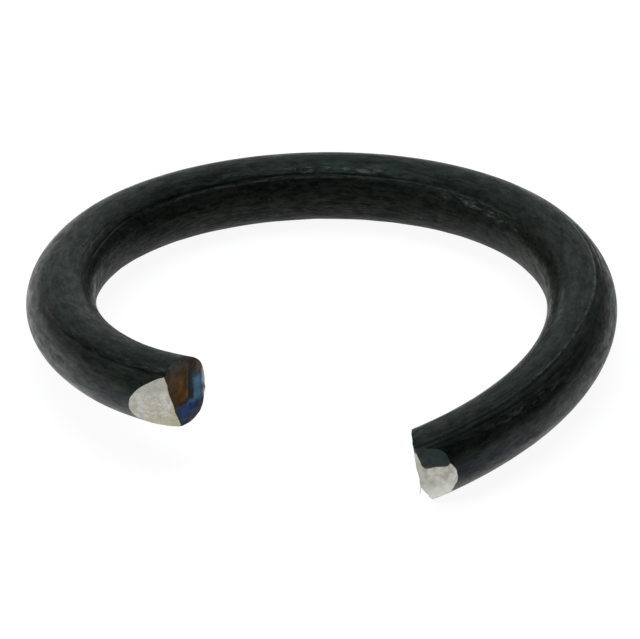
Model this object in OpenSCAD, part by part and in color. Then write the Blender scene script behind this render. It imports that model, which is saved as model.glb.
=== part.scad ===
// Circlip retaining ring of round wire.
// The wire lies along five tangent arcs and climbs evenly, like one turn of a coil,
// so the left end stands about one wire thickness above the right one.
// Both ends are pinched off: a face towards the mouth and long bevels on the outer side.

/* [Wire] */
// Thickness of the round wire, mm
wire_d = 3; // [2.4:0.1:3.6]
// Height that the wire climbs from its right end to its left end, mm
climb = 2.85; // [0:0.05:4]

/* [Back] */
// Radius of the back arc at the middle of the wire, mm
back_r = 10.7; // [9.5:0.1:12.5]
// Angle of the back arc, degrees
back_deg = 130; // [110:1:150]

/* [Left arm] */
// Radius of the flatter left side, mm
left_side_r = 15.2; // [12:0.1:20]
// Angle of the left side, degrees
left_side_deg = 56; // [40:1:60]
// Radius of the left tip, mm
left_tip_r = 10.5; // [9:0.1:14]
// Angle of the left tip, degrees
left_tip_deg = 23.6; // [18:0.1:30]

/* [Right arm] */
// Radius of the flatter right side, mm
right_side_r = 14.2; // [12:0.1:18]
// Angle of the right side, degrees
right_side_deg = 30; // [20:1:40]
// Radius of the right tip, mm
right_tip_r = 16.8; // [13:0.1:20]
// Angle of the right tip, degrees
right_tip_deg = 51.5; // [44:0.5:58]

/* [Left cut] */
// Turn of the left face towards the outside, degrees
left_face_yaw = 5; // [-10:1:20]
// Lean of the left face downwards, degrees
left_face_pitch = 3.5; // [-10:0.5:15]
// Turn of the long left bevel towards the outside, degrees
left_bevel_yaw = 63; // [55:1:75]
// Lean of the long left bevel downwards, degrees
left_bevel_pitch = 20; // [5:1:30]
// Reach of the long left bevel as a share of the wire radius
left_bevel_reach = 0.32; // [0.2:0.01:0.6]

/* [Right cut] */
// Turn of the right face towards the inside, degrees
right_face_yaw = 34; // [10:1:45]
// Lean of the right face downwards, degrees
right_face_pitch = 9; // [-5:1:15]
// Turn of the upper right bevel towards the outside, degrees
right_upper_yaw = 74; // [60:1:80]
// Lean of the upper right bevel upwards, degrees
right_upper_pitch = 18; // [8:1:30]
// Turn of the lower right bevel towards the outside, degrees
right_lower_yaw = 67; // [55:1:80]
// Lean of the lower right bevel downwards, degrees
right_lower_pitch = 13; // [5:1:25]
// Lean of the narrow chip between the right face and the bevels, degrees
right_chip_pitch = 7.5; // [0:0.5:20]
// Reach of the upper right bevel as a share of the wire radius
right_upper_reach = 0.86; // [0.7:0.01:0.95]
// Reach of the lower right bevel as a share of the wire radius
right_lower_reach = 0.7; // [0.6:0.01:0.9]
// Reach of the narrow chip as a share of the wire radius
right_chip_reach = 0.26; // [0.2:0.01:0.5]

/* [Hidden] */

wire_r = wire_d / 2;
over = wire_d;                     // wire left on past each tip for the cutters
step_deg = 24;                     // longest flat arc in the climbing curve
wire_facets = 48;
curve_facets = 80;
steel = [0.16, 0.17, 0.17];

// five arcs from the left tip to the right tip: radius, angle
arcs = [
  [left_tip_r, left_tip_deg],
  [left_side_r, left_side_deg],
  [back_r, back_deg],
  [right_side_r, right_side_deg],
  [right_tip_r, right_tip_deg]
];
function rad(deg) = deg * PI / 180;
wire_len = rad(arcs[0][0] * arcs[0][1] + arcs[1][0] * arcs[1][1] + arcs[2][0] * arcs[2][1]
             + arcs[3][0] * arcs[3][1] + arcs[4][0] * arcs[4][1]);
slope = asin(climb / wire_len);

// each arc is shared out into short flat arcs, and the outer two run on past the tips by a stub
stub_left = over / rad(left_tip_r);
stub_right = over / rad(right_tip_r);
even = [for (a = arcs) let (n = ceil(a[1] / step_deg)) for (k = [1:n]) [a[0], a[1] / n]];
shares = [for (i = [0:len(even) - 1])
  [even[i][0], even[i][1] + (i == 0 ? stub_left : 0) + (i == len(even) - 1 ? stub_right : 0)]];
start = -(back_deg / 2 + left_side_deg + left_tip_deg + stub_left);

function unit(v) = v / norm(v);
// direction of the wire at a heading: level part turns with the heading, all of it sinks by the slope
function ahead(h) = [cos(h) * cos(slope), -sin(h) * cos(slope), -sin(slope)];

// for each short arc: start point, start direction, direction to its centre, axis, radius, angle
chain = [
  for (i = 0, h = start, p = [0, 0, 0], t = ahead(start), u = ahead(start + shares[0][1]);
       i < len(shares);
       p = p + shares[i][0] * (sin(acos(t * u)) * t + (1 - cos(acos(t * u))) * cross(unit(cross(t, u)), t)),
       h = h + shares[i][1],
       i = i + 1,
       t = ahead(h),
       u = ahead(h + (i < len(shares) ? shares[i][1] : 0)))
    let (z = unit(cross(t, u))) [p, t, cross(z, t), z, shares[i][0], acos(t * u)]
];
last = len(chain) - 1;

function along(c, a) = c[0] + c[4] * (sin(a) * c[1] + (1 - cos(a)) * c[2]);
function facing(c, a) = cos(a) * c[1] + sin(a) * c[2];
function columns(x, y, z, p) = [[x[0], y[0], z[0], p[0]], [x[1], y[1], z[1], p[1]], [x[2], y[2], z[2], p[2]], [0, 0, 0, 1]];

// frames at the tips: x out of the wire, z up
function tip_frame(p, t) = let (z = unit([0, 0, 1] - t[2] * t)) columns(t, cross(z, t), z, p);
tip_left = tip_frame(along(chain[0], stub_left), -facing(chain[0], stub_left));
tip_right = tip_frame(along(chain[last], chain[last][5] - stub_right), facing(chain[last], chain[last][5] - stub_right));

// cutters: turn, lean, offset of each plane from the tip in the tip frame
cuts_left = [
  [-left_face_yaw, left_face_pitch, 0],
  [-left_bevel_yaw, left_bevel_pitch, left_bevel_reach * wire_r]
];
cuts_right = [
  [-right_face_yaw, right_face_pitch, -0.05 * wire_r],
  [right_upper_yaw, -right_upper_pitch, right_upper_reach * wire_r],
  [right_lower_yaw, right_lower_pitch, right_lower_reach * wire_r],
  [0, right_chip_pitch, right_chip_reach * wire_r]
];
function cut_normal(m, c) = let (v = [cos(c[0]) * cos(c[1]), sin(c[0]) * cos(c[1]), -sin(c[1])])
  [m[0][0] * v[0] + m[0][1] * v[1] + m[0][2] * v[2],
   m[1][0] * v[0] + m[1][1] * v[1] + m[1][2] * v[2],
   m[2][0] * v[0] + m[2][1] * v[1] + m[2][2] * v[2]];
function origin(m) = [m[0][3], m[1][3], m[2][3]];
function kept(p, m, cuts) = min([for (c = cuts) c[2] - cut_normal(m, c) * (p - origin(m))]) >= -0.001;

// pose at rest: the ring leans over towards its low right tip, more with more climb
lean = 98.5 * tan(slope);
lean_dir = -41;
lean_axis = [sin(lean_dir), -cos(lean_dir), 0];
function turned(p) = let (k = lean_axis, c = cos(lean), s = sin(lean)) p * c + cross(k, p) * s + k * (k * p) * (1 - c);

// the corner where the last three of the cuts meet
function corner(m, all) = let (cuts = [all[1], all[2], all[3]]) corner3(m, cuts);
function corner3(m, cuts) = let (n = [for (c = cuts) cut_normal(m, c)]) origin(m)
  + (cuts[0][2] * cross(n[1], n[2]) + cuts[1][2] * cross(n[2], n[0]) + cuts[2][2] * cross(n[0], n[1])) / (n[0] * cross(n[1], n[2]));

// skin points of the kept wire and that corner, turned to the pose at rest
skin = [
  turned(corner(tip_right, cuts_right)),
  for (i = [0:last], tip = [i == 0 || i == last], a = [0:tip ? 0.3 : 1.5:chain[i][5]], b = [0:tip ? 3 : 6:357])
    let (c = chain[i], t = facing(c, a), side = unit(cross(t, [0, 0, 1])),
         p = along(c, a) + wire_r * (cos(b) * side + sin(b) * cross(side, t)))
      if ((i > 0 || kept(p, tip_left, cuts_left)) && (i < last || kept(p, tip_right, cuts_right))) turned(p)
];
xs = [for (p = skin) p[0]];
ys = [for (p = skin) p[1]];
zs = [for (p = skin) p[2]];
shift = [-(min(xs) + max(xs)) / 2, -(min(ys) + max(ys)) / 2, -min(zs)];

// every second short arc is a hair thinner and reaches into its neighbours, so that the arcs join without a seam
hair = 0.015;
lap = 0.2;
module short_arc(i) {
  c = chain[i];
  thin = i % 2;
  more = thin * lap / rad(c[4]);
  multmatrix(columns(-c[2], c[1], c[3], c[0] + c[4] * c[2]))
    rotate([0, 0, -more])
      rotate_extrude(angle = c[5] + 2 * more, $fn = curve_facets)
        translate([c[4], 0]) circle(r = wire_r - thin * hair, $fn = wire_facets);
}
module half_space(m, c) {
  size = 8 * wire_r;
  multmatrix(m) rotate([0, c[1], c[0]]) translate([c[2], -size / 2, -size / 2]) cube(size);
}
module tip(i, m, cuts) {
  difference() {
    short_arc(i);
    for (k = cuts) half_space(m, k);
  }
}
module retaining_ring() {
  color(steel) translate(shift) rotate(a = lean, v = lean_axis) union() {
    tip(0, tip_left, cuts_left);
    for (i = [1:last - 1]) short_arc(i);
    tip(last, tip_right, cuts_right);
  }
}

retaining_ring();
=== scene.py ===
import math

import bpy
import numpy as np
from mathutils import Matrix, Vector


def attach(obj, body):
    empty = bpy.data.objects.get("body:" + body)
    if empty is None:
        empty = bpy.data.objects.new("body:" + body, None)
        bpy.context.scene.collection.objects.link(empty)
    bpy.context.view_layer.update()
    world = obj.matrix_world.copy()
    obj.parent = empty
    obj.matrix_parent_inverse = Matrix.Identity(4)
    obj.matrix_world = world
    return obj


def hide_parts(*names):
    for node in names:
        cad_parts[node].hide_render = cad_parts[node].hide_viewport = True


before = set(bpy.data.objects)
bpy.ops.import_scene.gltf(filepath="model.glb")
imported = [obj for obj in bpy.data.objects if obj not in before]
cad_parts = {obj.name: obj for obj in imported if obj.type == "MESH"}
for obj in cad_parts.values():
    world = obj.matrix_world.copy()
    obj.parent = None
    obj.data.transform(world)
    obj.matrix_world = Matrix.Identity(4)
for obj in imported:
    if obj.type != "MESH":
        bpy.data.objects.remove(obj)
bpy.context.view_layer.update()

MM = 0.001
PHOTO_W = 640

# ---------------------------------------------------------------- the wire's middle line
# The same chain of arcs as in part.scad, in mm. The working frame has the middle of the
# back at (0, BACK_R, 0) and the ring not yet leaned over into its pose at rest.
BACK_R = 10.7
ARCS = [(10.5, 23.6), (15.2, 56.0), (BACK_R, 130.0), (14.2, 30.0), (16.8, 51.5)]
CLIMB = 2.85
STUB = 3.0
STEP_DEG = 24.0
SKIN_R = 1.490            # a hair inside the CAD wire, so that fine ridges stay in its box
CAD_SHIFT = np.array([-3.41674, -11.9961, 4.04374])

wire_len = sum(math.radians(r * a) for r, a in ARCS)
slope = math.asin(CLIMB / wire_len)


def unit(v):
    return v / np.linalg.norm(v)


def ahead(h):
    return np.array([math.cos(h) * math.cos(slope), -math.sin(h) * math.cos(slope), -math.sin(slope)])


def middle_line():
    """Fine samples of the line: points, directions, headings, lengths from the back, and the start of the CAD chain."""
    shares = []
    for r, a in ARCS:
        n = math.ceil(a / STEP_DEG)
        shares += [[r, math.radians(a / n)] for _ in range(n)]
    shares[0][1] += STUB / ARCS[0][0]
    shares[-1][1] += STUB / ARCS[-1][0]
    h = -(math.radians(ARCS[2][1] / 2 + ARCS[1][1] + ARCS[0][1]) + STUB / ARCS[0][0])
    p = np.zeros(3)
    run = 0.0
    pts, dirs, heads, runs = [], [], [], []
    for r, d in shares:
        t, u = ahead(h), ahead(h + d)
        z = unit(np.cross(t, u))
        y = np.cross(z, t)
        th = math.acos(float(t @ u))
        a = np.linspace(0, th, max(int(r * th / 0.02), 8) + 1)
        if len(pts):
            a = a[1:]
        c, s = np.cos(a)[:, None], np.sin(a)[:, None]
        pts.append(p + r * (s * t + (1 - c) * y))
        dirs.append(c * t + s * y)
        heads.append(h + d * a / th)
        runs.append(run + r * a)
        p = p + r * (math.sin(th) * t + (1 - math.cos(th)) * y)
        h += d
        run += r * th
    pts, dirs = np.concatenate(pts), np.concatenate(dirs)
    heads, runs = np.concatenate(heads), np.concatenate(runs)
    back = np.array([np.interp(0.0, heads, pts[:, i]) for i in range(3)])
    return pts - back + [0, BACK_R, 0], dirs, heads, runs - np.interp(0.0, heads, runs), back - [0, BACK_R, 0]


LINE_P, LINE_T, LINE_H, LINE_S, CHAIN_START = middle_line()


def frame_along(s):
    """Point, direction, outward and upward unit vectors of the wire at lengths s."""
    s = np.asarray(s, float)
    P = np.stack([np.interp(s, LINE_S, LINE_P[:, i]) for i in range(3)], -1)
    T = np.stack([np.interp(s, LINE_S, LINE_T[:, i]) for i in range(3)], -1)
    T /= np.linalg.norm(T, axis=-1, keepdims=True)
    up = np.array([0, 0, 1.0])
    B = up - (T @ up)[..., None] * T
    B /= np.linalg.norm(B, axis=-1, keepdims=True)
    return P, T, np.cross(B, T), B


def on_wire(s, psi, r):
    """Point at length s, at angle psi round the wire (0 outwards, 90 up), r from its middle line."""
    P, T, N, B = frame_along(s)
    r = np.asarray(r, float)
    return P + (r * np.cos(psi))[..., None] * N + (r * np.sin(psi))[..., None] * B


# pose at rest: the lean of the CAD model and its place on the floor
lean = math.radians(98.5 * math.tan(slope))
lean_dir = math.radians(-41.0)
AXIS = np.array([math.sin(lean_dir), -math.cos(lean_dir), 0.0])
CROSS = np.array([[0, -AXIS[2], AXIS[1]], [AXIS[2], 0, -AXIS[0]], [-AXIS[1], AXIS[0], 0]])
LEAN = np.eye(3) + math.sin(lean) * CROSS + (1 - math.cos(lean)) * CROSS @ CROSS
PLACE = CAD_SHIFT + LEAN @ CHAIN_START


def to_row(p):
    """Working frame in mm to the row frame in metres."""
    return (np.asarray(p, float) @ LEAN.T + PLACE) * MM


# ---------------------------------------------------------------- camera
elev, roll = math.radians(24.516), math.radians(-3.641)
DIST, OX, OY, FOCAL = 278.157, 1.928, -35.001, 6500.0
forward = np.array([0, math.cos(elev), -math.sin(elev)])
right = np.array([1.0, 0, 0])
down = np.cross(forward, right)
cr, sr = math.cos(roll), math.sin(roll)
right, down = cr * right - sr * down, sr * right + cr * down
eye = -(np.stack([right, down, forward]).T @ np.array([OX / FOCAL * DIST, OY / FOCAL * DIST, DIST]))
eye_row = to_row(eye)
turn = np.stack([LEAN @ right, LEAN @ -down, LEAN @ -forward], -1)

cam = bpy.data.cameras.new("photo_camera")
cam.sensor_fit = "HORIZONTAL"
cam.sensor_width = 36.0
cam.lens = FOCAL / PHOTO_W * 36.0
cam.clip_start = 0.005
cam.clip_end = 50.0
cam_obj = bpy.data.objects.new("photo_camera", cam)
m = Matrix([[*turn[i], eye_row[i]] for i in range(3)] + [[0, 0, 0, 1]])
cam_obj.matrix_world = m
bpy.context.scene.collection.objects.link(cam_obj)
bpy.context.scene.camera = cam_obj

# ---------------------------------------------------------------- smooth repeatable noise


def hashed(ix, iy, iz, seed):
    h = (ix.astype(np.int64) * 73856093) ^ (iy.astype(np.int64) * 19349663) ^ (iz.astype(np.int64) * 83492791) ^ (seed * 2654435761)
    h &= 0xFFFFFFFF
    h = ((h ^ (h >> 16)) * 0x45D9F3B) & 0xFFFFFFFF
    h = ((h ^ (h >> 16)) * 0x45D9F3B) & 0xFFFFFFFF
    h ^= h >> 16
    return h / 4294967295.0 * 2 - 1


def noise(p, size, seed):
    """Value noise from -1 to 1 at points p (mm) with blobs of about that size."""
    q = np.asarray(p, float) / size
    i = np.floor(q).astype(np.int64)
    f = q - i
    f = f * f * f * (f * (f * 6 - 15) + 10)
    out = 0
    for dx in (0, 1):
        wx = f[..., 0] if dx else 1 - f[..., 0]
        for dy in (0, 1):
            wy = f[..., 1] if dy else 1 - f[..., 1]
            for dz in (0, 1):
                wz = f[..., 2] if dz else 1 - f[..., 2]
                out = out + wx * wy * wz * hashed(i[..., 0] + dx, i[..., 1] + dy, i[..., 2] + dz, seed)
    return out


def step(a, b, x):
    t = np.clip((x - a) / (b - a), 0, 1)
    return t * t * (3 - 2 * t)


def bump(x, mid, width):
    return np.exp(-((x - mid) / width) ** 2)


def window(x, a, b, soft):
    return step(a - soft, a + soft, x) * (1 - step(b - soft, b + soft, x))


# ---------------------------------------------------------------- fine relief of the skin
RIDGE_S = [11.0, 13.0, 16.5, 20.0, 23.5, 27.0, 31.0, 36.0]
RIDGE_A = [61.5, 63.4, 65.0, 66.6, 69.3, 68.3, 65.5, 61.0]


def ridge_angle(s):
    return np.interp(s, RIDGE_S, RIDGE_A)


def draw_angle(s):
    return np.interp(s, [-24.0, -14.0, -5.0, 0.0, 4.0, 12.0], [140.0, 140.6, 140.0, 138.5, 138.0, 136.5])


def flow(s, psi):
    """Coordinates of the straightened wire, mm, without a seam round it."""
    return np.stack([s, SKIN_R * np.cos(psi), SKIN_R * np.sin(psi)], -1)


def skin_relief(s, psi):
    """How far the skin stands proud of its plain round shape, mm."""
    a = np.degrees(psi)
    a = np.where(a > 240, a - 360, a)
    w = a + 1.2 * noise(np.stack([s, 0 * s, 0 * s], -1), 3.0, 5)
    d = np.zeros_like(s)
    # drawn ridge with its groove on the outer top of the right arm
    r = ridge_angle(s)
    on = step(11.5, 15.5, s) * (1 - 0.55 * step(25.5, 30.0, s))
    d += on * (0.016 * bump(w, r, 1.5) - 0.030 * bump(w, r - 4.6, 3.4) - 0.006 * bump(w, r - 12.0, 6.0))
    # a second faint line under it
    d += -0.012 * bump(w, 50.5, 1.6) * (window(s, 14.0, 18.5, 1.0) + window(s, 24.0, 35.0, 1.5))
    # soft fold along the left arm
    d += (-0.040 * bump(w, 50.0, 5.0) + 0.012 * bump(w, 59.0, 3.4)) * window(s, -36.0, -22.0, 2.5)
    # draw lines on the inner top of the back
    q = draw_angle(s)
    z = np.stack([s, 0 * s, 0 * s], -1)
    broken = step(-0.35, 0.45, noise(z, 0.9, 21) + 0.5 * noise(z, 0.35, 22))
    d += window(s, -20.0, 5.0, 2.0) * (-0.020 * (0.45 + 0.55 * step(-0.5, 0.3, noise(z, 1.7, 23))) * bump(w, q - 1.6, 1.5) + 0.010 * broken * bump(w, q + 2.0, 1.2))
    d += window(s, -19.0, -12.0, 1.2) * (-0.012 * bump(w, 125.5, 1.4))
    d += window(s, 4.0, 11.0, 1.5) * (0.010 * bump(w, q + 2.0, 1.2) - 0.010 * bump(w, q - 1.2, 1.4))
    # slight flats left by drawing
    d += -0.004 * (0.5 + 0.5 * np.cos(np.radians(6 * (a - 12))))
    # long low waves, shallow dents and drawn streaks
    f = flow(s, psi)
    d += 0.0045 * noise(f * [0.35, 1, 1], 1.1, 11) + 0.0030 * noise(f * [0.22, 1, 1], 0.42, 12)
    rough = step(150, 176, a) + step(-50, -75, a) * (a < 0)
    d += 0.0075 * np.clip(rough, 0, 1) * noise(f * [0.30, 1, 1], 0.22, 13)
    d += -0.012 * step(0.55, 0.95, noise(f * [0.5, 1, 1], 0.62, 14)) * (0.35 + 0.65 * np.clip(rough, 0, 1))
    # lip pressed down under the left end by the cut
    low = np.where(a < 0, a, a - 360)
    d += 0.11 * window(low, -150, -62, 22) * step(-29.6, -31.4, s)
    return d


# ---------------------------------------------------------------- the two pinched ends
def tip_frame(heading, side):
    s0 = float(np.interp(math.radians(heading), LINE_H, LINE_S))
    P, T, N, B = frame_along(np.array(s0))
    return {"s0": s0, "side": side, "O": P, "t": T * side, "N": N, "B": B}


TIP_L = tip_frame(-144.6, -1)
TIP_R = tip_frame(146.5, 1)


def plane(tip, yaw, pitch, offset):
    """A cut: yaw turns its outward normal to the ring's outside, pitch leans it down, offset in mm."""
    a, b = math.radians(yaw), math.radians(pitch)
    n = math.cos(b) * (math.cos(a) * tip["t"] + math.sin(a) * tip["N"]) - math.sin(b) * tip["B"]
    return n, float(n @ tip["O"]) + offset


# left: face to the mouth, long bright bevel; right: face to the mouth, upper bevel, torn lower bevel, narrow chip
CUTS_L = [plane(TIP_L, 5.0, 3.5, 0.0), plane(TIP_L, 63.3, 19.9, 0.480)]
CUTS_R = [plane(TIP_R, -34.4, 6.2, 0.060), plane(TIP_R, 73.8, -18.6, 1.300), plane(TIP_R, 67.0, 13.2, 1.045), plane(TIP_R, 0.0, 7.6, 0.490)]


def cross_coords(tip, X):
    d = X - tip["O"]
    return np.stack([d @ tip["t"], d @ tip["N"], d @ tip["B"]], -1)


def solve_end(tip, cuts, psi, r, deeper=None, round_mm=0.02):
    """For each line at (psi, r): the length past the tip where it leaves the wire, and how much each cut holds there."""
    sig = np.linspace(-8.0, 1.75, 391)
    g = np.empty((len(cuts), len(psi), len(sig)))
    P, T, N, B = frame_along(tip["s0"] + tip["side"] * sig)
    dirv = (r * np.cos(psi))[:, None, None] * N[None] + (r * np.sin(psi))[:, None, None] * B[None]
    X = P[None] + dirv
    for k, (n, d) in enumerate(cuts):
        g[k] = X @ n - d + (0 if deeper is None else deeper[k][:, None])
    top = g.max(0)
    G = top + round_mm * np.log(np.exp((g - top) / round_mm).sum(0))
    outside = G > 0
    j = np.clip(outside.argmax(1), 1, len(sig) - 1)
    rows = np.arange(len(psi))
    g0, g1 = G[rows, j - 1], G[rows, j]
    f = np.clip(g0 / np.where(g0 == g1, 1e-9, g0 - g1), 0, 1)
    end = sig[j - 1] + f * (sig[1] - sig[0])
    gk = g[:, rows, j - 1] * (1 - f) + g[:, rows, j] * f
    share = np.exp((gk - gk.max(0)) / 0.03)
    return end, share / share.sum(0)


def rollover(tip, psi_deg):
    """Radius of the soft edge that the pinch drew over the top and inside of each end, mm."""
    a = np.where(psi_deg > 270, psi_deg - 360, psi_deg)
    if tip["side"] < 0:
        return 0.02 + 0.01 * window(a, 58, 104, 12)
    return np.full(len(a), 0.02)


# columns round the wire, closer together where the drawn lines run
def columns(n):
    a = np.linspace(0, 360, 3601)
    w = 1 + 1.7 * window(a, 46, 73, 5) + 1.5 * window(a, 123, 146, 5)
    c = np.concatenate([[0], np.cumsum((w[1:] + w[:-1]) / 2)])
    return np.radians(np.interp(np.arange(n) / n * c[-1], c, a))


NP_, NK = 152, 56
PSI = columns(NP_)
PSI_DEG = np.degrees(PSI)


def build_end(tip, cuts, fade):
    """Rim and rings of one end: lengths, radii and cut shares, rims first."""
    rho = 1 - np.concatenate([np.linspace(0, 0.16, 15), 0.16 + (np.linspace(0, 1, NK - 14)[1:] ** 1.0) * 0.84])
    rho = rho[:NK]
    rho[-1] = 0.0
    psi = np.tile(PSI, NK - 1)
    rr = np.repeat(rho[:-1], NP_)
    end0, _ = solve_end(tip, cuts, psi, rr * SKIN_R)
    s0 = tip["s0"] + tip["side"] * end0
    edge = SKIN_R + skin_relief(s0, psi)
    r = rr * edge
    X = on_wire(s0, psi, r)
    c = cross_coords(tip, X)
    deeper = [f(c, rr) for f in fade]
    end, share = solve_end(tip, cuts, psi, r, deeper)
    R = np.tile(rollover(tip, PSI_DEG), NK - 1)
    # a rollover only bites into the first cut, which faces the mouth
    k = np.clip((rr - 1) * SKIN_R / R + 1, 0, 1)
    end = end - R * (1 - np.sqrt(1 - k * k)) * np.clip(share[0] * 1.15, 0, 1)
    s = tip["s0"] + tip["side"] * end
    mid = float(end.reshape(NK - 1, NP_)[-1].mean())
    return {"s": s.reshape(NK - 1, NP_), "r": r.reshape(NK - 1, NP_), "share": share.reshape(len(cuts), NK - 1, NP_),
            "mid": tip["s0"] + tip["side"] * mid, "mid_share": share.reshape(len(cuts), NK - 1, NP_)[:, -1].mean(-1)}


def grain(c, rr, seed, amount):
    """Torn grain of the bright break: deeper where positive."""
    d = 0.80 * noise(c, 0.62, seed) + 0.50 * noise(c, 0.28, seed + 1)
    d += 0.45 * np.abs(noise(c, 0.36, seed + 2)) + 0.22 * noise(c, 0.12, seed + 3) + 0.10 * noise(c, 0.06, seed + 4)
    return amount * (d + 0.2)


def left_face(c, rr):
    x, y = c[..., 1], c[..., 2]
    d = 0.010 * noise(c, 0.5, 31) + 0.006 * noise(c, 0.16, 32)
    # a groove down the face and a hollow beside the long bevel
    d += 0.040 * bump(x, -0.47 - 0.03 * y, 0.09) * window(y, -0.8, 0.8, 0.25)
    d += (0.06 * step(0.9, 0.1, y) + 0.06 * step(-0.4, -1.2, y)) * step(-0.45, 0.25, x)
    d += -0.05 * bump(np.hypot(x + 1.42, y + 0.38), 0, 0.13)
    # the edge stands out high and low on the inner side
    d += -0.11 * bump(np.hypot(x + 1.05, y - 1.05), 0, 0.55) - 0.09 * bump(np.hypot(x + 0.95, y + 1.10), 0, 0.55)
    return d


def left_bevel(c, rr):
    return grain(c, rr, 41, 0.030) * (0.55 + 0.45 * step(1.0, 0.9, rr))


def worn_corner(c, rr):
    """The lowest corner of the right end is a little rounded."""
    return step(0.85, 1.0, rr) * window(np.degrees(np.arctan2(c[..., 2], c[..., 1])), -98, -60, 8)


def right_face(c, rr):
    y = c[..., 2]
    d = 0.010 * noise(c, 0.4, 51) + 0.020 * np.abs(noise(c, 0.3, 52)) - 0.07 * bump(y, 0.20, 0.50) - 0.05 * bump(y, -0.50, 0.16)
    return d + 0.20 * step(-0.62, -1.10, y) - 0.04 * step(-1.0, -1.25, y) + 0.10 * worn_corner(c, rr)


def right_upper(c, rr):
    x = c[..., 0]
    return 0.010 * noise(c, 0.5, 61) + 0.004 * noise(c, 0.15, 62) + 0.065 * step(-0.80, 0.05, x)


def right_lower(c, rr):
    x, y = c[..., 1], c[..., 2]
    a = np.degrees(np.arctan2(y, x))
    # the lower edge of the break curls back round the wire
    curl = step(0.80, 1.0, rr) * (0.055 * step(-25, -38, a) + 0.13 * step(-36, -50, a)) + 0.06 * worn_corner(c, rr)
    return grain(c, rr, 71, 0.034) * (0.55 + 0.45 * step(1.0, 0.9, rr)) + 0.055 * step(-0.25, -0.50, c[..., 0]) * step(-0.2, 0.3, y) + curl


def right_chip(c, rr):
    # a lip stands out low on this edge, and the corner under it is broken away
    d = grain(c, rr, 76, 0.022)
    y = c[..., 2]
    return d - 0.055 * bump(y, -0.55, 0.22) + 0.10 * step(-0.85, -1.25, y) + 0.10 * worn_corner(c, rr)


END_L = build_end(TIP_L, CUTS_L, [left_face, left_bevel])
END_R = build_end(TIP_R, CUTS_R, [right_face, right_upper, right_lower, right_chip])

# ---------------------------------------------------------------- one closed mesh
rim_l, rim_r = END_L["s"][0], END_R["s"][0]
mid_a, mid_b = float(rim_l.max()) + 0.12, float(rim_r.min()) - 0.12
N_L, N_R, N_M = 30, 20, 392
rows = [rim_l + (mid_a - rim_l) * (i / N_L) for i in range(N_L)]
rows += [np.full(NP_, mid_a + (mid_b - mid_a) * i / (N_M - 1)) for i in range(N_M)]
rows += [mid_b + (rim_r - mid_b) * ((i + 1) / N_R) for i in range(N_R)]
S_GRID = np.array(rows)
NS_ = len(S_GRID)
PSI_GRID = np.tile(PSI, (NS_, 1))
R_GRID = SKIN_R + skin_relief(S_GRID, PSI_GRID)
# the rims take their radius from the end rings, so that skin and ends meet exactly
R_GRID[0], R_GRID[-1] = END_L["r"][0], END_R["r"][0]

verts = [on_wire(S_GRID.ravel(), PSI_GRID.ravel(), R_GRID.ravel())]
vs = [S_GRID.ravel()]
vpsi = [PSI_GRID.ravel()]
vrho = [np.ones(NS_ * NP_)]
faces, kinds = [], []


def quads(a, b, flip=False):
    """Quads between two closed rows of vertices."""
    a2, b2 = np.roll(a, -1), np.roll(b, -1)
    q = np.stack([a, a2, b2, b] if not flip else [a2, a, b, b2], -1)
    return q


base = np.arange(NS_ * NP_).reshape(NS_, NP_)
skin_quads = np.concatenate([quads(base[i], base[i + 1]) for i in range(NS_ - 1)])
count = NS_ * NP_
end_quads, end_tris, tip_of = [], [], [np.zeros(count, int)]
share_of = [np.zeros((count, 4))]
for end, tip, rim, flip in ((END_L, TIP_L, base[0], True), (END_R, TIP_R, base[-1], False)):
    ring_ids = [rim]
    K = NK - 1
    pts = on_wire(end["s"][1:].ravel(), np.tile(PSI, K - 1), end["r"][1:].ravel())
    verts.append(pts)
    vs.append(end["s"][1:].ravel())
    vpsi.append(np.tile(PSI, K - 1))
    vrho.append(end["r"][1:].ravel() / SKIN_R)
    ids = count + np.arange((K - 1) * NP_).reshape(K - 1, NP_)
    ring_ids += list(ids)
    count += ids.size
    verts.append(on_wire(np.array([end["mid"]]), np.zeros(1), np.zeros(1)))
    vs.append(np.array([end["mid"]]))
    vpsi.append(np.zeros(1))
    vrho.append(np.zeros(1))
    centre = count
    count += 1
    for k in range(len(ring_ids) - 1):
        end_quads.append(quads(ring_ids[k], ring_ids[k + 1], flip))
    last = ring_ids[-1]
    nxt = np.roll(last, -1)
    c = np.full(NP_, centre)
    end_tris.append(np.stack([nxt, last, c] if flip else [last, nxt, c], -1))
    sh = end["share"].reshape(end["share"].shape[0], K, NP_)
    row = np.zeros(((K - 1) * NP_ + 1, 4))
    row[:-1, :sh.shape[0]] = sh[:, 1:].reshape(sh.shape[0], -1).T
    row[-1, :sh.shape[0]] = end["mid_share"]
    share_of.append(row)
    share_of[0][rim, :sh.shape[0]] = sh[:, 0].T
    tip_of.append(np.full(len(row), 1 if tip["side"] < 0 else 2))

V = np.concatenate(verts)
VS, VPSI, VRHO = np.concatenate(vs), np.concatenate(vpsi), np.concatenate(vrho)
TIP_OF, SHARE = np.concatenate(tip_of), np.concatenate(share_of)

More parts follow.
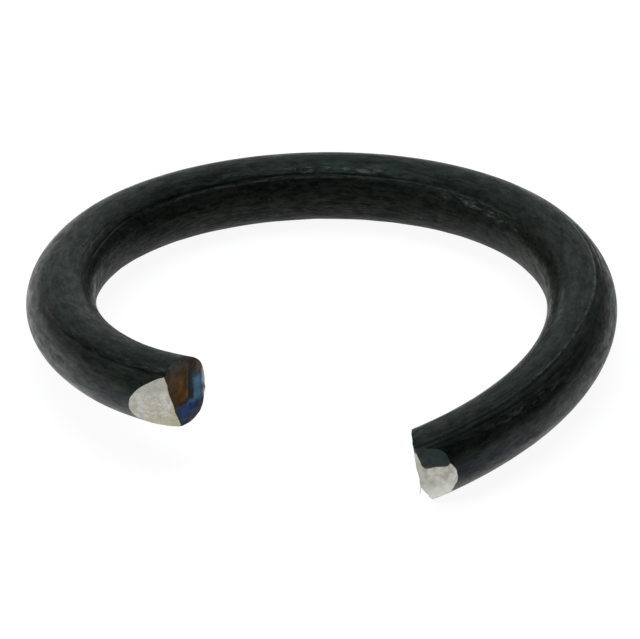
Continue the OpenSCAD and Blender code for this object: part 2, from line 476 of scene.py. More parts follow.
# burr: a thin curled whisker of metal on the lower left edge of the right end
def whisker(path, radii, sides=8):
    """A closed tapering tube along a path of points in the working frame."""
    path = np.array(path, float)
    t = np.linspace(0, len(path) - 1, 26)
    P = np.stack([np.interp(t, np.arange(len(path)), path[:, i]) for i in range(3)], -1)
    for _ in range(3):
        P[1:-1] = (P[:-2] + 2 * P[1:-1] + P[2:]) / 4
    r = np.interp(t, np.arange(len(path)), radii)
    T = np.gradient(P, axis=0)
    T /= np.linalg.norm(T, axis=1, keepdims=True)
    A = np.cross(T, [0.3, 0.9, 0.2])
    A /= np.linalg.norm(A, axis=1, keepdims=True)
    Bv = np.cross(T, A)
    ang = np.arange(sides) * 2 * math.pi / sides
    ring = P[:, None] + r[:, None, None] * (np.cos(ang)[None, :, None] * A[:, None] * 0.55 + np.sin(ang)[None, :, None] * Bv[:, None])
    v = np.concatenate([ring.reshape(-1, 3), P[:1], P[-1:]])
    q = []
    for i in range(len(P) - 1):
        a = np.arange(sides) + i * sides
        q.append(np.stack([a, np.roll(a, -1), np.roll(a, -1) + sides, a + sides], -1))
    first = np.arange(sides)
    lastr = first + (len(P) - 1) * sides
    t1 = np.stack([np.roll(first, -1), first, np.full(sides, len(v) - 2)], -1)
    t2 = np.stack([lastr, np.roll(lastr, -1), np.full(sides, len(v) - 1)], -1)
    return v, np.concatenate(q), np.concatenate([t1, t2])


def in_tip(tip, x, n, b):
    return tip["O"] + x * tip["t"] + n * tip["N"] + b * tip["B"]


W_PATH = [in_tip(TIP_R, 0.30, 0.66, -0.12), in_tip(TIP_R, 0.389, 0.63, -0.22), in_tip(TIP_R, 0.424, 0.64, -0.36), in_tip(TIP_R, 0.462, 0.62, -0.60), in_tip(TIP_R, 0.500, 0.60, -0.82), in_tip(TIP_R, 0.520, 0.57, -0.94)]
wv, wq, wt = whisker(W_PATH, [0.05, 0.055, 0.040, 0.034, 0.034, 0.012])
w0 = len(V)
V = np.concatenate([V, wv])
wc = cross_coords(TIP_R, wv)
VS = np.concatenate([VS, TIP_R["s0"] + wc[:, 0]])
VPSI = np.concatenate([VPSI, np.arctan2(wc[:, 2], wc[:, 1])])
VRHO = np.concatenate([VRHO, np.full(len(wv), 0.5)])
TIP_OF = np.concatenate([TIP_OF, np.full(len(wv), 2)])
ws = np.zeros((len(wv), 4))
ws[:, 3] = 1
SHARE = np.concatenate([SHARE, ws])

end_q = np.concatenate(end_quads)
end_t = np.concatenate(end_tris)
polys = np.concatenate([skin_quads.ravel(), end_q.ravel(), (wq + w0).ravel(), end_t.ravel(), (wt + w0).ravel()])
n_quads = len(skin_quads) + len(end_q) + len(wq)
n_tris = len(end_t) + len(wt)
starts = np.concatenate([np.arange(n_quads) * 4, n_quads * 4 + np.arange(n_tris) * 3])
totals = np.concatenate([np.full(n_quads, 4), np.full(n_tris, 3)])

mesh = bpy.data.meshes.new("ring_wire")
mesh.vertices.add(len(V))
mesh.vertices.foreach_set("co", to_row(V).astype(np.float32).ravel())
mesh.loops.add(len(polys))
mesh.loops.foreach_set("vertex_index", polys.astype(np.int32))
mesh.polygons.add(len(starts))
mesh.polygons.foreach_set("loop_start", starts.astype(np.int32))
mesh.polygons.foreach_set("loop_total", totals.astype(np.int32))
mat_index = np.zeros(len(starts), np.int32)
mat_index[len(skin_quads):] = 1
mesh.polygons.foreach_set("material_index", mat_index)
mesh.update(calc_edges=True)
mesh.validate(verbose=False)
mesh.polygons.foreach_set("use_smooth", np.ones(len(mesh.polygons), bool))
mesh.set_sharp_from_angle(angle=math.radians(38))

ring = bpy.data.objects.new("ring_wire", mesh)
bpy.context.scene.collection.objects.link(ring)


def put(name, values):
    a = mesh.attributes.new(name, "FLOAT", "POINT")
    a.data.foreach_set("value", np.asarray(values, np.float32))


def put_vec(name, values):
    a = mesh.attributes.new(name, "FLOAT_VECTOR", "POINT")
    a.data.foreach_set("vector", np.asarray(values, np.float32).ravel())


# where each kind of wear, tint and painted light or shade lies, as soft numbers from 0 to 1 that the materials read
ADEG = np.degrees(VPSI)
ADEG = np.where(ADEG > 240, ADEG - 360, ADEG)
put_vec("flow", np.stack([VS, SKIN_R * VRHO * np.cos(VPSI), SKIN_R * VRHO * np.sin(VPSI)], -1))
blue = bump(ADEG, -3.5 + 0.0 * VS, 6.5) * (step(-23.0, -27.0, VS) + 0.9 * step(21.0, 25.0, VS))
blue += 0.35 * bump(ADEG, 57, 5) * step(30.5, 33.0, VS) + 0.30 * bump(ADEG, 150, 9) * bump(VS, -3.0, 3.0) * 0.6
put("blue", np.clip(blue, 0, 1))
# painted reflection: the lower outer side of the front arms is made lighter grey where it faces the pale floor
floor_reflection = step(-8, -30, ADEG) * (step(-20.0, -26.0, VS) + step(20.0, 25.0, VS))
put("floor_reflection", np.clip(floor_reflection, 0, 1))
inner = step(160, 186, ADEG) + (ADEG < 0) * step(-70, -105, ADEG)
put("inner", np.clip(inner, 0, 1))
put("wear", np.clip(inner, 0, 1) * (0.45 + 0.55 * window(VS, -8.5, 9.5, 3.0)))
# painted shade: less reflection and coat over the right arm and parts of the inner side, which the light leaves darker;
# on the inner side it also stands for a duller surface
dull_and_shade = 0.75 * step(158, 172, ADEG) + 0.75 * (ADEG < 0) * step(-80, -110, ADEG)
dull_and_shade += step(122, 134, ADEG) * (1 - step(160, 170, ADEG)) * (window(VS, 15.5, 30.0, 3.0) + 0.85 * window(VS, -30.0, -17.0, 2.5))
dull_and_shade += 0.30 * step(162, 172, ADEG) * window(VS, -19.0, -8.0, 3.0)
dull_and_shade += 0.8 * window(ADEG, -40, 62, 12) * window(VS, 14.0, 27.0, 4.0) + 0.5 * window(ADEG, -75, 2, 12) * step(25.0, 30.0, VS)
put("dull_and_shade", np.clip(dull_and_shade, 0, 1))
# painted shade: dark lines along the fold of the left arm, the groove beside the right ridge and the drawn lines of the
# back
groove_shade_and_grey = bump(ADEG, 50.5 + 0.25 * (VS + 28.0), 3.6) * window(VS, -33.0, -24.5, 1.6) + 0.35 * bump(ADEG, 51.5, 5.0) * window(VS, -30.0, -19.0, 3.0)
groove_shade_and_grey += 0.8 * bump(ADEG, np.interp(VS, [15.0, 20.0, 25.0, 31.0, 35.0], [60.0, 61.5, 62.5, 61.0, 60.0]), 2.0) * window(VS, 16.0, 30.0, 2.5)
groove_shade_and_grey += 0.9 * bump(ADEG, 50.5, 1.8) * step(29.5, 32.0, VS) + 0.6 * bump(ADEG, 61.5, 1.5) * step(30.0, 32.0, VS)
groove_shade_and_grey += 0.8 * bump(ADEG, draw_angle(VS) - 1.6, 1.2) * window(VS, -19.0, 3.0, 1.5) + 0.5 * bump(ADEG, 125.5, 1.2) * window(VS, -19.0, -12.0, 1.0)
put("groove_shade_and_grey", np.clip(groove_shade_and_grey, 0, 1))
brown = window(ADEG, 150, 196, 8) * window(VS, -9.0, 8.0, 3.0) + 0.9 * window(ADEG, 126, 185, 10) * window(VS, 11.0, 25.0, 3.0) + 0.9 * window(ADEG, 50, 118, 10) * step(33.3, 34.2, VS) + 0.5 * window(ADEG, 10, 45, 8) * (window(VS, -33, -26, 2) + window(VS, 25, 33, 2))
put("brown", np.clip(brown, 0, 1))
side_l = window(ADEG, -30, 17, 9) * window(VS, -26.5, -14.0, 2.5)
put("scuff", np.clip(side_l, 0, 1))
teal = window(ADEG, 58, 118, 12) * (step(-15.0, -21.0, VS) + 0.6 * window(VS, 10.0, 30.0, 4.0))
put("teal", np.clip(teal, 0, 1))
rub = np.zeros_like(VS)
for s0, a0, ws_, wa, amp in ((22.6, 113, 0.9, 5, 1.3), (21.0, 119, 1.1, 3, 0.8), (-24.0, 96, 0.6, 4, 0.6), (16.5, 152, 0.8, 4, 0.5), (20.5, 124, 1.2, 6, 0.35), (-16.5, 120, 1.3, 5, 0.35), (-23.8, 98, 0.5, 3, 0.5)):
    rub += amp * bump(VS, s0, ws_) * bump(ADEG, a0, wa)
put("rub", np.clip(rub, 0, 1))
# painted highlight: bare-metal colour along the top of the right ridge and beside the drawn lines of the back
line = step(12.0, 16.0, VS) * (1 - 0.7 * step(26.0, 31.0, VS)) * bump(ADEG, ridge_angle(VS) + 0.5, 1.7)
line += 0.75 * window(VS, -9.0, 3.0, 1.5) * bump(ADEG, draw_angle(VS) + 3.0, 1.5)
line += 0.75 * window(VS, 5.5, 11.0, 1.0) * bump(ADEG, draw_angle(VS) + 2.2, 1.4)
put("line", np.clip(line, 0, 1))
fleck = window(ADEG, 123, 133, 3) * (window(VS, -1.6, 3.6, 0.8) + 0.30 * window(VS, -6.0, 6.0, 1.5)) + window(ADEG, 143, 156, 5) * window(VS, 7.0, 12.0, 1.2) + 0.6 * window(ADEG, 110, 130, 5) * window(VS, -20.0, -13.0, 1.5)
fleck += 0.4 * window(ADEG, 52, 62, 3) * window(VS, -31.5, -28.0, 0.8) + 0.5 * window(ADEG, 34, 44, 4) * window(VS, 27.0, 31.5, 1.0)
put("fleck", np.clip(fleck, 0, 1))

# the ends, in the coordinates of their own tips
is_l, is_r = TIP_OF == 1, TIP_OF == 2
rim_l_ids, rim_r_ids = base[0], base[-1]
is_l = is_l.copy(); is_l[rim_l_ids] = True
is_r = is_r.copy(); is_r[rim_r_ids] = True
face = np.zeros((len(V), 3))
face[is_l] = cross_coords(TIP_L, V[is_l])
face[is_r] = cross_coords(TIP_R, V[is_r]) + [0, 6, 0]
put_vec("face", face)
bright = np.zeros(len(V))
bright[is_l] = SHARE[is_l, 1]
bright[is_r] = SHARE[is_r, 2]
cR = cross_coords(TIP_R, V[is_r])
low = step(1.12, 0.98, cR[:, 2] + 0.06 * noise(cR, 0.25, 81))
bright[is_r] += (SHARE[is_r, 0] + SHARE[is_r, 3]) * low
put("bright", np.clip(bright, 0, 1))
old = np.zeros(len(V))
old[is_r] = SHARE[is_r, 1] + (SHARE[is_r, 0] + SHARE[is_r, 3]) * (1 - low)
put("old", np.clip(old, 0, 1))
# thickness of the temper film on the faces that look at the mouth: 0 bare, 0.3 brown, 0.55 purple, 0.7 blue, 0.9 pale blue
film = np.zeros(len(V))
cL = cross_coords(TIP_L, V[is_l])
x, y = cL[:, 1], cL[:, 2]
wob = 0.09 * noise(cL, 0.38, 91) + 0.05 * noise(cL, 0.14, 92)
xx = x + wob + 0.04 * y
fl = 0.29 - 0.08 * bump(xx, -0.04, 0.17) * window(y, -0.55, 0.75, 0.30) + 0.08 * step(0.6, 1.0, y) + 0.04 * bump(np.hypot(x - 0.12, y - 0.90), 0, 0.25)
fl = fl + 0.23 * step(-0.27, -0.49, xx) * step(-0.80, -0.55, y) * (1 - 0.8 * step(0.60, 0.85, y))
fl = fl + 0.10 * step(-0.62, -0.80, xx) * window(y, -0.80, -0.40, 0.12)
fl = fl + 0.32 * step(-0.58, -0.82, xx) * step(0.54, 0.20, y + 0.6 * wob)
fl = fl - 0.30 * step(-1.08, -1.34, xx) * step(-0.55, -0.35, y)
fl = fl + 0.37 * step(-0.42, -0.70, y + wob) * (0.74 + 0.26 * step(0.25, -0.10, x)) * (1 - step(-0.60, -0.80, xx) * 0.95)
film[is_l] = fl
film[is_r] = 0.20 + 0.05 * noise(cR, 0.3, 93)
put("film", np.clip(film, 0, 1))
warm = np.zeros(len(V))
warm[is_l] = step(0.4, -1.0, y) * 0.8
put("warm", warm)
dull = np.zeros(len(V))
dull[is_r] = step(1.25, 0.85, cR[:, 1]) * step(0.9, 0.5, cR[:, 2]) * step(-0.9, -0.5, cR[:, 2]) * 0.4
dull[is_l] = step(-0.1, 0.5, y) * 0.55
put("dull", dull)
# painted light: the lower part of the right break is made lighter
lower_painted_light = np.zeros(len(V))
lower_painted_light[is_r] = step(-0.25, -0.85, cR[:, 2]) * 0.6
put("lower_painted_light", lower_painted_light)
red = np.zeros(len(V))
red[is_r] = bump(np.linalg.norm((cR - [0.38, 1.12, 0.44]) / [1.5, 1.0, 0.5], axis=1), 0, 0.075)
put("red", red)
spark = np.zeros(len(V))
spark[is_l] = bump(np.hypot(x + 0.29, y + 0.23), 0, 0.13)
put("spark", spark)
# darker grey-brown over the top, inner and lower rims of the left face, and over the right end
dark_grey_mask = np.zeros(len(V))
lip = step(0.62, 1.22, y + wob) + step(-0.80, -1.10, x) * step(0.35, 0.75, y) + 0.7 * step(1.15, 1.42, np.hypot(x, y)) * step(-0.2, -0.6, y)
dark_grey_mask[is_l] = np.clip(lip, 0, 1)
dark_grey_mask[is_r] = 0.6
put("dark_grey_mask", dark_grey_mask)
rimlight = np.zeros(len(V))
rimlight[is_l] = step(-1.20, -1.42, x) * window(y, -0.75, 0.75, 0.25)
put("rimlight", rimlight)


# ---------------------------------------------------------------- materials
class Graph:
    """Short spelling for a node material."""

    def __init__(self, name):
        self.mat = bpy.data.materials.new(name)
        self.mat.use_nodes = True
        self.t = self.mat.node_tree
        self.t.nodes.clear()
        self.out = self.t.nodes.new("ShaderNodeOutputMaterial")
        self.bsdf = self.t.nodes.new("ShaderNodeBsdfPrincipled")
        self.t.links.new(self.bsdf.outputs["BSDF"], self.out.inputs["Surface"])

    def link(self, a, b):
        self.t.links.new(a, b)

    def put(self, socket, value):
        if hasattr(value, "is_output"):
            self.link(value, socket)
        else:
            socket.default_value = value

    def attr(self, name, vector=False):
        n = self.t.nodes.new("ShaderNodeAttribute")
        n.attribute_name = name
        return n.outputs["Vector" if vector else "Fac"]

    def math(self, op, a, b=0.0, clamp=False):
        n = self.t.nodes.new("ShaderNodeMath")
        n.operation = op
        n.use_clamp = clamp
        self.put(n.inputs[0], a)
        self.put(n.inputs[1], b)
        return n.outputs[0]

    def scaled(self, vec, by):
        n = self.t.nodes.new("ShaderNodeVectorMath")
        n.operation = "MULTIPLY"
        self.put(n.inputs[0], vec)
        n.inputs[1].default_value = by
        return n.outputs[0]

    def noise(self, vec, scale, detail=4.0, rough=0.55, distort=0.0):
        n = self.t.nodes.new("ShaderNodeTexNoise")
        n.noise_dimensions = "3D"
        self.put(n.inputs["Vector"], vec)
        n.inputs["Scale"].default_value = scale
        n.inputs["Detail"].default_value = detail
        n.inputs["Roughness"].default_value = rough
        n.inputs["Distortion"].default_value = distort
        return n.outputs["Fac"]

    def cells(self, vec, scale, feature="F1"):
        n = self.t.nodes.new("ShaderNodeTexVoronoi")
        n.feature = feature
        self.put(n.inputs["Vector"], vec)
        n.inputs["Scale"].default_value = scale
        return n.outputs["Distance"]

    def cell_colour(self, vec, scale):
        n = self.t.nodes.new("ShaderNodeTexVoronoi")
        self.put(n.inputs["Vector"], vec)
        n.inputs["Scale"].default_value = scale
        return n.outputs["Color"]

    def ramp(self, fac, stops, mode="LINEAR"):
        n = self.t.nodes.new("ShaderNodeValToRGB")
        n.color_ramp.interpolation = mode
        el = n.color_ramp.elements
        while len(el) > 1:
            el.remove(el[-1])
        el[0].position = stops[0][0]
        el[0].color = (*stops[0][1], 1)
        for p, c in stops[1:]:
            e = el.new(p)
            e.color = (*c, 1)
        self.put(n.inputs["Fac"], fac)
        return n.outputs["Color"]

    def span(self, value, a, b, lo=0.0, hi=1.0):
        n = self.t.nodes.new("ShaderNodeMapRange")
        n.interpolation_type = "SMOOTHSTEP"
        self.put(n.inputs["Value"], value)
        n.inputs["From Min"].default_value = a
        n.inputs["From Max"].default_value = b
        n.inputs["To Min"].default_value = lo
        n.inputs["To Max"].default_value = hi
        return n.outputs["Result"]

    def mix(self, fac, a, b, blend="MIX"):
        n = self.t.nodes.new("ShaderNodeMix")
        n.data_type = "RGBA"
        n.blend_type = blend
        n.clamp_factor = True
        self.put(n.inputs[0], fac)
        self.put(n.inputs[6], a if hasattr(a, "is_output") else (*a, 1))
        self.put(n.inputs[7], b if hasattr(b, "is_output") else (*b, 1))
        return n.outputs[2]

    def mixf(self, fac, a, b):
        n = self.t.nodes.new("ShaderNodeMix")
        n.data_type = "FLOAT"
        n.clamp_factor = True
        self.put(n.inputs[0], fac)
        self.put(n.inputs[2], a)
        self.put(n.inputs[3], b)
        return n.outputs[0]

    def bump(self, height, strength, distance, normal=None):
        n = self.t.nodes.new("ShaderNodeBump")
        n.inputs["Strength"].default_value = strength
        n.inputs["Distance"].default_value = distance
        self.put(n.inputs["Height"], height)
        if normal is not None:
            self.put(n.inputs["Normal"], normal)
        return n.outputs["Normal"]


def skin_material():
    g = Graph("black_oxide_steel")
    f = g.attr("flow", True)
    blotch = g.noise(g.scaled(f, (0.30, 1.0, 1.0)), 2.2, 5.0, 0.62, 0.5)
    mottle = g.noise(g.scaled(f, (0.34, 1.0, 1.0)), 5.0, 5.0, 0.64, 0.4)
    other = g.noise(g.scaled(f, (0.28, 1.0, 1.0)), 3.4, 5.0, 0.64, 0.6)
    streak = g.noise(g.scaled(f, (0.16, 1.0, 1.0)), 9.0, 5.0, 0.6)
    fine = g.noise(g.scaled(f, (0.35, 1.0, 1.0)), 26.0, 3.0, 0.6)
    inner, brown = g.attr("inner"), g.attr("brown")
    # black oxide, patchy, with a faint green, violet or olive cast
    col = g.mix(g.span(mottle, 0.40, 0.64), (0.0008, 0.0018, 0.0013), (0.0062, 0.0088, 0.0074))
    col = g.mix(g.math("MULTIPLY", g.span(blotch, 0.56, 0.68), 0.55), col, (0.0100, 0.0090, 0.0125))
    col = g.mix(g.math("MULTIPLY", g.span(other, 0.57, 0.70), 0.55), col, (0.0105, 0.0120, 0.0062))
    # brownish haze and dull grey rubbed patches on the inside
    col = g.mix(g.math("MULTIPLY", g.math("MULTIPLY", brown, 0.75), g.span(mottle, 0.34, 0.70)), col, (0.0125, 0.0115, 0.0052))
    worn = g.math("MULTIPLY", g.attr("wear"), g.span(streak, 0.46, 0.64))
    col = g.mix(g.math("MULTIPLY", worn, 0.85), col, (0.023, 0.0225, 0.0175))
    patch = g.span(g.noise(g.scaled(f, (0.45, 1.0, 1.0)), 4.0, 5.0, 0.7), 0.46, 0.62)
    scuff = g.math("MULTIPLY", g.attr("scuff"), patch)
    col = g.mix(scuff, col, (0.036, 0.034, 0.028))
    col = g.mix(g.math("MULTIPLY", g.attr("teal"), 0.65), col, (0.0010, 0.0074, 0.0077))
    # painted reflection of the floor: lighter grey on the lower outer side
    floor_reflection = g.math("MULTIPLY", g.attr("floor_reflection"), g.span(streak, 0.30, 0.65, 0.35, 1.0))
    col = g.mix(g.math("MULTIPLY", floor_reflection, 0.8), col, (0.020, 0.020, 0.0185))
    blue = g.math("MULTIPLY", g.attr("blue"), g.span(streak, 0.25, 0.60, 0.45, 1.0))
    col = g.mix(blue, col, (0.0105, 0.0120, 0.0235))
    # bare metal showing in rubbed patches and scattered flecks, and a painted highlight along the ridge and drawn lines
    rub = g.math("MULTIPLY", g.attr("rub"), g.span(fine, 0.34, 0.60, 0.35, 1.0))
    rub = g.math("MULTIPLY", rub, g.span(mottle, 0.34, 0.56, 0.25, 1.0))
    ridge_glint = g.math("MULTIPLY", g.attr("line"), g.span(g.noise(g.scaled(f, (0.22, 1.0, 1.0)), 13.0, 4.0, 0.65), 0.40, 0.60, 0.10, 1.0))
    spots = g.span(g.cells(g.scaled(f, (0.45, 1.0, 1.0)), 4.2), 0.17, 0.07)
    gate = g.span(g.noise(f, 1.7, 2.0), 0.50, 0.62)
    everywhere = g.math("MULTIPLY", g.math("MULTIPLY", spots, gate), 0.30)
    more = g.math("MULTIPLY", g.attr("fleck"), g.span(g.noise(g.scaled(f, (0.24, 1.0, 1.0)), 6.5, 5.0, 0.68), 0.50, 0.66))
    bare_and_glint = g.math("MAXIMUM", g.math("MULTIPLY", rub, 1.0), g.math("MULTIPLY", ridge_glint, 0.80))
    bare_and_glint = g.math("MAXIMUM", bare_and_glint, g.math("MAXIMUM", everywhere, g.math("MULTIPLY", more, 1.0)), True)
    col = g.mix(bare_and_glint, col, (0.105, 0.112, 0.108))
    g.link(col, g.bsdf.inputs["Base Color"])
    rough = g.span(other, 0.34, 0.66, 0.32, 0.54)
    rough = g.mixf(g.math("MULTIPLY", inner, 0.6), rough, 0.58)
    rough = g.mixf(bare_and_glint, rough, 0.45)
    g.link(rough, g.bsdf.inputs["Roughness"])
    gloss = g.math("ADD", g.span(blotch, 0.36, 0.64, 0.11, 0.29), g.span(mottle, 0.36, 0.64, 0.10, 0.32))
    # painted shade: reflection turned down on the right arm and the inner side
    left_over = g.math("SUBTRACT", 1.0, g.math("MULTIPLY", g.attr("dull_and_shade"), 0.62))
    # painted shade: reflection turned down along the fold, the groove beside the ridge and the drawn lines
    groove_shade = g.math("MULTIPLY", g.attr("groove_shade_and_grey"), g.span(g.noise(g.scaled(f, (0.22, 1.0, 1.0)), 6.0, 3.0, 0.6), 0.30, 0.58, 0.35, 1.0))
    left_over = g.math("MULTIPLY", left_over, g.math("SUBTRACT", 1.0, g.math("MULTIPLY", groove_shade, 0.8)))
    left_over = g.math("MULTIPLY", left_over, g.math("SUBTRACT", 1.0, g.math("MULTIPLY", g.attr("teal"), 0.26)))
    between = g.math("MULTIPLY", g.attr("scuff"), g.math("SUBTRACT", 1.0, patch))
    left_over = g.math("MULTIPLY", left_over, g.math("SUBTRACT", 1.0, g.math("MULTIPLY", between, 0.40)))
    g.link(g.math("MULTIPLY", gloss, left_over), g.bsdf.inputs["Specular IOR Level"])
    # the coat thins where the painted shade turns the reflection down
    g.link(g.math("MULTIPLY", g.math("SUBTRACT", 1.0, g.attr("dull_and_shade"), True), 0.13), g.bsdf.inputs["Coat Weight"])
    g.bsdf.inputs["IOR"].default_value = 1.32
    g.bsdf.inputs["Coat IOR"].default_value = 1.3
    g.bsdf.inputs["Coat Roughness"].default_value = 0.20
    g.bsdf.inputs["Specular Tint"].default_value = (0.71, 1.0, 0.89, 1.0)
    drawn = g.noise(g.scaled(f, (0.06, 1.0, 1.0)), 22.0, 4.0, 0.6)
    pits = g.noise(g.scaled(f, (0.4, 1.0, 1.0)), 10.0, 4.0, 0.62)
    dents = g.noise(g.scaled(f, (0.30, 1.0, 1.0)), 3.0, 4.0, 0.58)
    h = g.math("ADD", g.math("MULTIPLY", drawn, 0.22), g.math("MULTIPLY", pits, 0.35))
    h = g.math("ADD", h, g.math("MULTIPLY", dents, 1.3))
    h = g.math("ADD", h, g.math("MULTIPLY", g.math("MULTIPLY", inner, streak), 1.2))
    g.link(g.bump(h, 0.75, 0.000030), g.bsdf.inputs["Normal"])
    return g.mat


def end_material():
    g = Graph("pinched_ends")
    f = g.attr("face", True)
    bright, old, film, dark_grey_mask = g.attr("bright"), g.attr("old"), g.attr("film"), g.attr("dark_grey_mask")
    wide = g.noise(f, 1.3, 3.0, 0.55)
    mid = g.noise(f, 3.2, 3.0, 0.6)
    grit = g.noise(f, 11.0, 5.0, 0.65)
    fine = g.noise(f, 34.0, 3.0, 0.6)
    # torn bright steel: soft cloudy patches, a little yellow in places
    torn = g.mix(g.span(mid, 0.36, 0.64), (0.47, 0.45, 0.40), (0.66, 0.65, 0.60))
    torn = g.mix(g.math("MULTIPLY", g.span(wide, 0.40, 0.62), g.attr("warm")), torn, (0.48, 0.46, 0.30))
    torn = g.mix(g.math("MULTIPLY", g.span(g.noise(f, 4.6, 4.0, 0.6), 0.52, 0.66), 0.55), torn, (0.78, 0.77, 0.72))
    torn = g.mix(g.math("MULTIPLY", g.span(grit, 0.54, 0.70), 0.45), torn, (0.26, 0.26, 0.235))
    torn = g.mix(g.math("MULTIPLY", g.attr("dull"), g.span(mid, 0.3, 0.6, 0.5, 1.0)), torn, (0.36, 0.36, 0.31))
    # painted light: lighter steel over the lower part of the right break
    torn = g.mix(g.attr("lower_painted_light"), torn, (0.77, 0.785, 0.73))
    # temper colours by the thickness of the film
    t = g.math("ADD", film, g.math("MULTIPLY", g.math("SUBTRACT", fine, 0.5), 0.06))
    t = g.math("ADD", t, g.math("MULTIPLY", g.math("SUBTRACT", mid, 0.5), 0.14))
    temper = g.ramp(t, [(0.0, (0.16, 0.15, 0.12)), (0.14, (0.100, 0.076, 0.030)), (0.22, (0.070, 0.036, 0.006)), (0.30, (0.042, 0.016, 0.002)), (0.38, (0.028, 0.011, 0.003)),
                        (0.46, (0.022, 0.016, 0.013)), (0.54, (0.018, 0.021, 0.024)), (0.62, (0.018, 0.032, 0.085)), (0.70, (0.026, 0.052, 0.135)), (0.80, (0.042, 0.100, 0.185)), (0.92, (0.075, 0.150, 0.22)), (1.0, (0.10, 0.17, 0.24))])
    temper = g.mix(g.math("MULTIPLY", g.attr("spark"), g.span(mid, 0.2, 0.6, 0.6, 1.0)), temper, (0.115, 0.046, 0.018))
    # dark grey-brown for the rims of the left face and the right end
    groove_shade_and_grey = g.mix(g.span(mid, 0.30, 0.70), (0.026, 0.024, 0.018), (0.060, 0.053, 0.042))
    temper = g.mix(g.math("MULTIPLY", dark_grey_mask, g.span(mid, 0.2, 0.6, 0.8, 1.0)), temper, groove_shade_and_grey)
    temper = g.mix(g.math("MULTIPLY", g.attr("rimlight"), 0.8), temper, (0.42, 0.44, 0.44))
    oxide = g.mix(g.span(mid, 0.32, 0.68), (0.028, 0.040, 0.041), (0.047, 0.067, 0.066))
    edge = g.span(g.math("ADD", bright, g.math("MULTIPLY", g.math("SUBTRACT", grit, 0.5), 0.35)), 0.40, 0.60)
    cover = g.span(old, 0.35, 0.65)
    col = g.mix(cover, temper, oxide)
    col = g.mix(edge, col, torn)
    col = g.mix(g.math("MULTIPLY", g.attr("red"), 0.8), col, (0.26, 0.09, 0.085))
    g.link(col, g.bsdf.inputs["Base Color"])
    metal = g.mixf(cover, 1.0, 0.0)
    g.link(g.mixf(edge, metal, 0.60), g.bsdf.inputs["Metallic"])
    g.link(g.mixf(edge, g.span(grit, 0.3, 0.7, 0.36, 0.50), g.span(fine, 0.3, 0.7, 0.52, 0.68)), g.bsdf.inputs["Roughness"])
    g.bsdf.inputs["IOR"].default_value = 1.4
    h = g.math("ADD", g.math("MULTIPLY", grit, 0.8), g.math("MULTIPLY", fine, 0.45))
    h = g.math("MULTIPLY", h, g.mixf(edge, 0.30, 1.0))
    g.link(g.bump(h, 0.7, 0.00003), g.bsdf.inputs["Normal"])
    return g.mat


mesh.materials.append(skin_material())
mesh.materials.append(end_material())

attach(ring, "root")
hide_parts("retaining_ring")

# ---------------------------------------------------------------- floor, light
bpy.ops.mesh.primitive_plane_add(size=6.0, location=(0, 0, 0))
floor = bpy.context.object
floor.name = "studio_floor"
g = Graph("pale_floor")
fv = g.t.nodes.new("ShaderNodeTexCoord").outputs["Object"]
tone = g.mix(g.noise(fv, 40.0, 3.0, 0.5), (0.21, 0.212, 0.212), (0.23, 0.23, 0.23))
g.link(tone, g.bsdf.inputs["Base Color"])
g.bsdf.inputs["Roughness"].default_value = 0.85
g.bsdf.inputs["IOR"].default_value = 1.2
g.bsdf.inputs["Emission Color"].default_value = (1.0, 1.0, 1.0, 1.0)
g.bsdf.inputs["Emission Strength"].default_value = 0.92
floor.data.materials.append(g.mat)

world = bpy.data.worlds.new("studio_dome")
bpy.context.scene.world = world
world.use_nodes = True
wt_ = world.node_tree
wt_.nodes.clear()
w_out = wt_.nodes.new("ShaderNodeOutputWorld")
w_bg = wt_.nodes.new("ShaderNodeBackground")
w_tc = wt_.nodes.new("ShaderNodeTexCoord")


def w_add(a, b):
    n = wt_.nodes.new("ShaderNodeMath")
    n.operation = "ADD"
    wt_.links.new(a, n.inputs[0])
    if hasattr(b, "is_output"):
        wt_.links.new(b, n.inputs[1])
    else:
        n.inputs[1].default_value = b
    return n.outputs[0]


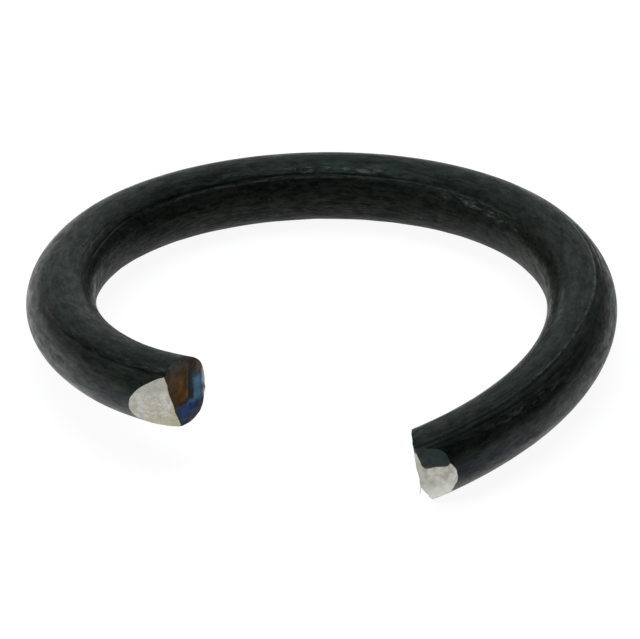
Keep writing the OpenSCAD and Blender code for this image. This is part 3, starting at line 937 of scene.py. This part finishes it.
def w_lobe(azimuth, height, wide, narrow, amount):
    """More or less light from one side of the dome; azimuth 0 is towards the camera, 90 to its right."""
    a, e = math.radians(azimuth), math.radians(height)
    dot = wt_.nodes.new("ShaderNodeVectorMath")
    dot.operation = "DOT_PRODUCT"
    dot.inputs[1].default_value = (math.sin(a) * math.cos(e), -math.cos(a) * math.cos(e), math.sin(e))
    wt_.links.new(w_tc.outputs["Generated"], dot.inputs[0])
    rng = wt_.nodes.new("ShaderNodeMapRange")
    rng.interpolation_type = "SMOOTHSTEP"
    rng.inputs["From Min"].default_value = math.cos(math.radians(wide))
    rng.inputs["From Max"].default_value = math.cos(math.radians(narrow))
    rng.inputs["To Min"].default_value = 0.0
    rng.inputs["To Max"].default_value = amount
    wt_.links.new(dot.outputs["Value"], rng.inputs["Value"])
    return rng.outputs["Result"]


# pale walls behind and to the left, dimmer ones to the right and beside the camera
total = w_add(w_lobe(180, 48, 55, 10, 0.50), w_lobe(270, 48, 55, 10, 0.48))
total = w_add(total, w_lobe(90, 48, 55, 10, 0.05))
total = w_add(total, w_lobe(300, 12, 60, 10, 0.19))
total = w_add(total, w_lobe(60, 12, 60, 10, 0.05))
total = w_add(total, w_lobe(180, 12, 60, 10, 0.18))
wt_.links.new(total, w_bg.inputs["Strength"])
w_bg.inputs["Color"].default_value = (0.92, 1.0, 0.955, 1.0)
wt_.links.new(w_bg.outputs[0], w_out.inputs["Surface"])


def area(name, at, look, size, watts, tint=(1, 1, 1)):
    d = bpy.data.lights.new(name, "AREA")
    d.shape = "DISK"
    d.size = size
    d.energy = watts
    d.color = tint
    o = bpy.data.objects.new(name, d)
    o.location = at
    o.rotation_euler = (Vector(look) - Vector(at)).to_track_quat("-Z", "Y").to_euler()
    bpy.context.scene.collection.objects.link(o)
    return o


area("soft_top", (0.0, 0.03, 0.60), (0, 0, 0), 0.46, 0.74, (0.92, 1.0, 0.98))

view = bpy.context.scene.view_settings
view.view_transform = "Standard"
view.look = "None"
view.exposure = 0.0
view.gamma = 1.0
